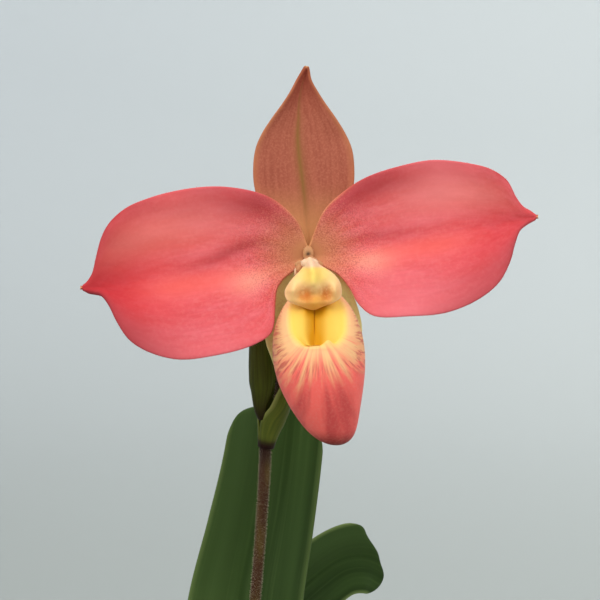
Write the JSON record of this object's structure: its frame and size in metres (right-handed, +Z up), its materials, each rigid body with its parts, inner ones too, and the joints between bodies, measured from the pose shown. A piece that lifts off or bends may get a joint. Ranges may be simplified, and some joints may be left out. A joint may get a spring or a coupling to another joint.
{
  "type": "potted phragmipedium orchid",
  "caption": "Slipper orchid in bloom in a plain clay pot of bark: strap leaves in fans, an upright downy scape with bracts, and one coral flower with a pouched lip.",
  "frame": {"origin": "centre of the pot's flat underside", "axes": "+Z up along the scape, -Y towards whoever faces the flower, +X to their right"},
  "size_m": [0.1291, 0.2609, 0.3704],
  "materials": {
    "clay": "unglazed terracotta, turned, matt",
    "bark": "chipped fir bark, rough and dry",
    "root": "tan root tissue, faintly furred",
    "leaf": "deep green strap leaf with a soft gloss",
    "young_leaf": "fresh green strap leaf with a soft gloss",
    "scape": "dark red-brown stem with pale down",
    "bract_pale": "green bract, purple at its foot, satin",
    "bract_dark": "dark green bract, purple at its foot, satin",
    "bud": "downy green bud",
    "ovary": "ribbed, downy, olive to red-brown",
    "sepal": "salmon-brown with a green midrib and fine veins",
    "synsepal": "tan to yellow-green, finely veined",
    "petal": "velvety coral red, paler below the midline",
    "pouch": "coral red streaked on cream, yellow inside, downy",
    "column": "yellow and peach shield with orange-brown blotches"
  },
  "bodies": {
    "root": {"pot": "clay", "potting_mix": "bark", "rhizome": "root", "leaf_tall": "leaf", "leaf_side": "leaf", "leaf_back": "leaf", "leaf_front": "leaf", "leaf_high_front": "leaf", "leaf_inner": "leaf", "young_leaf_back": "young_leaf", "young_leaf_front": "young_leaf", "young_leaf_tall": "young_leaf", "young_leaf_heart": "young_leaf", "scape": "scape", "scape_bract": "bract_pale", "floral_bract": "bract_pale", "bud_bract": "bract_dark", "flower_bud": "bud", "ovary": "ovary", "dorsal_sepal": "sepal", "synsepal": "synsepal", "petal_left": "petal", "petal_right": "petal", "lip_pouch": "pouch", "column": "column"}
  },
  "joints": []
}
